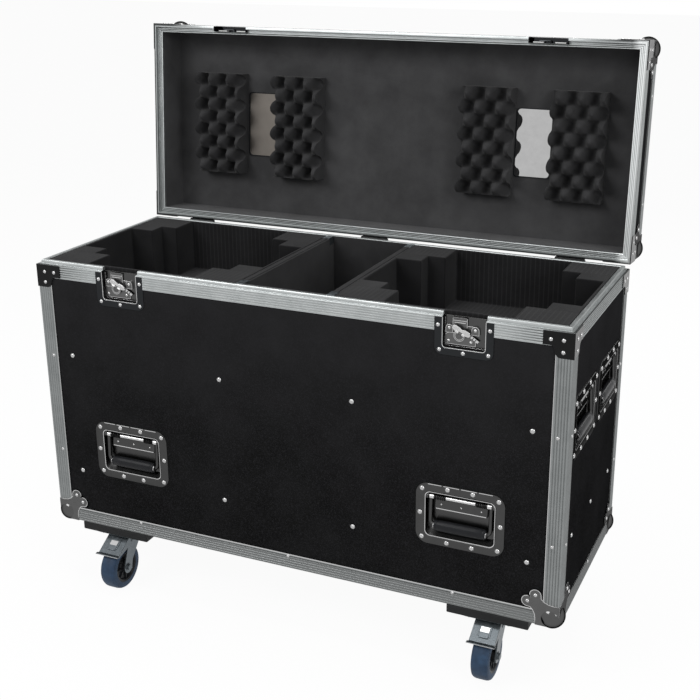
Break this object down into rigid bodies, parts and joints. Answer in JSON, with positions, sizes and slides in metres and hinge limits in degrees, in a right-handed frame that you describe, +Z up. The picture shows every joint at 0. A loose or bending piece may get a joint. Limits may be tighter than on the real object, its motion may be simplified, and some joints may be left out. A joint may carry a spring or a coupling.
{
  "type": "lighting flight case",
  "caption": "Black castor-mounted flight case for a pair of moving-head lamps, lid open, with aluminium edges, recessed latches and handles and foam-lined compartments.",
  "frame": {"origin": "centre of the floor panel's underside", "axes": "+X to the case's right as seen from the front, +Y to the back, +Z up; the latches face -Y"},
  "size_m": [1.142, 0.6255, 1.1803],
  "materials": {
    "laminated_plywood": "black fine-grained laminate on birch plywood",
    "aluminium_profile": "satin anodised, grooved",
    "chromed_steel": "polished",
    "zinc_plated_steel": "bright zinc",
    "dark_foam": "closed-cell foam, matt",
    "egg_crate_foam": "open-cell foam, matt",
    "black_board": "black painted plywood",
    "polished_plate": "mirror polished",
    "blue_rubber": "blue elastic tread on a black core"
  },
  "bodies": {
    "base": {"front_panel": "laminated_plywood", "back_panel": "laminated_plywood", "left_panel": "laminated_plywood", "right_panel": "laminated_plywood", "floor_panel": "laminated_plywood", "base_edge_frame": "aluminium_profile", "base_rim_frame": "aluminium_profile", "base_rim_front": "aluminium_profile", "divider_left": "dark_foam", "divider_right": "dark_foam", "inlay_left": "dark_foam", "inlay_right": "dark_foam", "centre_lining": "dark_foam", "handle_dish_front_left": "chromed_steel", "handle_dish_front_right": "chromed_steel", "handle_dish_right_front": "chromed_steel", "handle_dish_right_rear": "chromed_steel", "handle_dish_left_front": "chromed_steel", "handle_dish_left_rear": "chromed_steel", "latch_dish_left": "chromed_steel", "latch_dish_right": "chromed_steel", "castor_board_left": "black_board", "castor_board_right": "black_board"},
    "lid": {"lid_top_panel": "laminated_plywood", "lid_walls": "laminated_plywood", "lid_edge_frame": "aluminium_profile", "lid_rim_frame": "aluminium_profile", "latch_keeper_left": "chromed_steel", "latch_keeper_right": "chromed_steel", "lid_lining": "dark_foam", "egg_crate_pad_outer_left": "egg_crate_foam", "egg_crate_pad_inner_left": "egg_crate_foam", "egg_crate_pad_inner_right": "egg_crate_foam", "egg_crate_pad_outer_right": "egg_crate_foam", "lid_plate_left": "polished_plate", "lid_plate_right": "polished_plate"},
    "bail_front_left": {"handle_bail_front_left": "chromed_steel"},
    "bail_front_right": {"handle_bail_front_right": "chromed_steel"},
    "bail_right_front": {"handle_bail_right_front": "chromed_steel"},
    "bail_right_rear": {"handle_bail_right_rear": "chromed_steel"},
    "bail_left_front": {"handle_bail_left_front": "chromed_steel"},
    "bail_left_rear": {"handle_bail_left_rear": "chromed_steel"},
    "latch_rotor_left_body": {"latch_rotor_left": "chromed_steel"},
    "latch_wing_left_body": {"latch_wing_left": "chromed_steel"},
    "latch_hook_left_body": {"latch_hook_left": "zinc_plated_steel"},
    "latch_rotor_right_body": {"latch_rotor_right": "chromed_steel"},
    "latch_wing_right_body": {"latch_wing_right": "chromed_steel"},
    "latch_hook_right_body": {"latch_hook_right": "zinc_plated_steel"},
    "fork_front_left": {"castor_fork_front_left": "zinc_plated_steel"},
    "wheel_front_left": {"castor_wheel_front_left": "blue_rubber"},
    "pedal_left": {"brake_pedal_left": "zinc_plated_steel"},
    "fork_front_right": {"castor_fork_front_right": "zinc_plated_steel"},
    "wheel_front_right": {"castor_wheel_front_right": "blue_rubber"},
    "pedal_right": {"brake_pedal_right": "zinc_plated_steel"},
    "fork_rear_left": {"castor_fork_rear_left": "zinc_plated_steel"},
    "wheel_rear_left": {"castor_wheel_rear_left": "blue_rubber"},
    "fork_rear_right": {"castor_fork_rear_right": "zinc_plated_steel"},
    "wheel_rear_right": {"castor_wheel_rear_right": "blue_rubber"}
  },
  "joints": [
    {"name": "lid_hinge", "type": "hinge", "parent": "base", "child": "lid", "pos_m": [0, 0.2255, 0.5868], "axis": [1, 0, 0], "range_deg": [0, 94.62]},
    {"name": "bail_hinge_front_left", "type": "hinge", "parent": "base", "child": "bail_front_left", "pos_m": [-0.367, -0.2125, 0.22], "axis": [-1, 0, 0], "range_deg": [0, 90], "stiffness_Nm_per_rad": 0.4, "springref_deg": -28.65},
    {"name": "bail_hinge_front_right", "type": "hinge", "parent": "base", "child": "bail_front_right", "pos_m": [0.367, -0.2125, 0.22], "axis": [-1, 0, 0], "range_deg": [0, 90], "stiffness_Nm_per_rad": 0.4, "springref_deg": -28.65},
    {"name": "bail_hinge_right_front", "type": "hinge", "parent": "base", "child": "bail_right_front", "pos_m": [0.5595, -0.097, 0.419], "axis": [0, -1, 0], "range_deg": [0, 90], "stiffness_Nm_per_rad": 0.4, "springref_deg": -28.65},
    {"name": "bail_hinge_right_rear", "type": "hinge", "parent": "base", "child": "bail_right_rear", "pos_m": [0.5595, 0.097, 0.419], "axis": [0, -1, 0], "range_deg": [0, 90], "stiffness_Nm_per_rad": 0.4, "springref_deg": -28.65},
    {"name": "bail_hinge_left_front", "type": "hinge", "parent": "base", "child": "bail_left_front", "pos_m": [-0.5595, -0.097, 0.419], "axis": [0, 1, 0], "range_deg": [0, 90], "stiffness_Nm_per_rad": 0.4, "springref_deg": -28.65},
    {"name": "bail_hinge_left_rear", "type": "hinge", "parent": "base", "child": "bail_left_rear", "pos_m": [-0.5595, 0.097, 0.419], "axis": [0, 1, 0], "range_deg": [0, 90], "stiffness_Nm_per_rad": 0.4, "springref_deg": -28.65},
    {"name": "latch_turn_left", "type": "hinge", "parent": "base", "child": "latch_rotor_left_body", "pos_m": [-0.377, -0.2125, 0.548], "axis": [0, 1, 0], "range_deg": [0, 180]},
    {"name": "latch_wing_fold_left", "type": "hinge", "parent": "latch_rotor_left_body", "child": "latch_wing_left_body", "pos_m": [-0.37476, -0.2186, 0.55302], "axis": [0.9135, 0, -0.4067], "range_deg": [0, 90]},
    {"name": "latch_hook_slide_left", "type": "slide", "parent": "base", "child": "latch_hook_left_body", "axis": [0, 0, 1], "range_m": [0, 0.01]},
    {"name": "latch_turn_right", "type": "hinge", "parent": "base", "child": "latch_rotor_right_body", "pos_m": [0.357, -0.2125, 0.548], "axis": [0, 1, 0], "range_deg": [0, 180]},
    {"name": "latch_wing_fold_right", "type": "hinge", "parent": "latch_rotor_right_body", "child": "latch_wing_right_body", "pos_m": [0.35924, -0.2186, 0.55302], "axis": [0.9135, 0, -0.4067], "range_deg": [0, 90]},
    {"name": "latch_hook_slide_right", "type": "slide", "parent": "base", "child": "latch_hook_right_body", "axis": [0, 0, 1], "range_m": [0, 0.01]},
    {"name": "castor_swivel_front_left", "type": "hinge", "parent": "base", "child": "fork_front_left", "pos_m": [-0.427, -0.174, -0.025], "axis": [0, 0, 1], "continuous": true},
    {"name": "wheel_spin_front_left", "type": "hinge", "parent": "fork_front_left", "child": "wheel_front_left", "pos_m": [-0.427, -0.212, -0.0973], "axis": [1, 0, 0], "continuous": true},
    {"name": "brake_pedal_hinge_left", "type": "hinge", "parent": "fork_front_left", "child": "pedal_left", "pos_m": [-0.427, -0.196, -0.0393], "axis": [1, 0, 0], "range_deg": [0, 6]},
    {"name": "castor_swivel_front_right", "type": "hinge", "parent": "base", "child": "fork_front_right", "pos_m": [0.427, -0.174, -0.025], "axis": [0, 0, 1], "continuous": true},
    {"name": "wheel_spin_front_right", "type": "hinge", "parent": "fork_front_right", "child": "wheel_front_right", "pos_m": [0.427, -0.212, -0.0973], "axis": [1, 0, 0], "continuous": true},
    {"name": "brake_pedal_hinge_right", "type": "hinge", "parent": "fork_front_right", "child": "pedal_right", "pos_m": [0.427, -0.196, -0.0393], "axis": [1, 0, 0], "range_deg": [0, 6]},
    {"name": "castor_swivel_rear_left", "type": "hinge", "parent": "base", "child": "fork_rear_left", "pos_m": [-0.427, 0.174, -0.025], "axis": [0, 0, 1], "continuous": true},
    {"name": "wheel_spin_rear_left", "type": "hinge", "parent": "fork_rear_left", "child": "wheel_rear_left", "pos_m": [-0.427, 0.136, -0.0973], "axis": [1, 0, 0], "continuous": true},
    {"name": "castor_swivel_rear_right", "type": "hinge", "parent": "base", "child": "fork_rear_right", "pos_m": [0.427, 0.174, -0.025], "axis": [0, 0, 1], "continuous": true},
    {"name": "wheel_spin_rear_right", "type": "hinge", "parent": "fork_rear_right", "child": "wheel_rear_right", "pos_m": [0.427, 0.136, -0.0973], "axis": [1, 0, 0], "continuous": true}
  ],
  "couplings": [
    {"joint": "latch_turn_left", "follows": "latch_hook_slide_left", "rad_per_m": 314.16},
    {"joint": "latch_turn_right", "follows": "latch_hook_slide_right", "rad_per_m": 314.16}
  ]
}
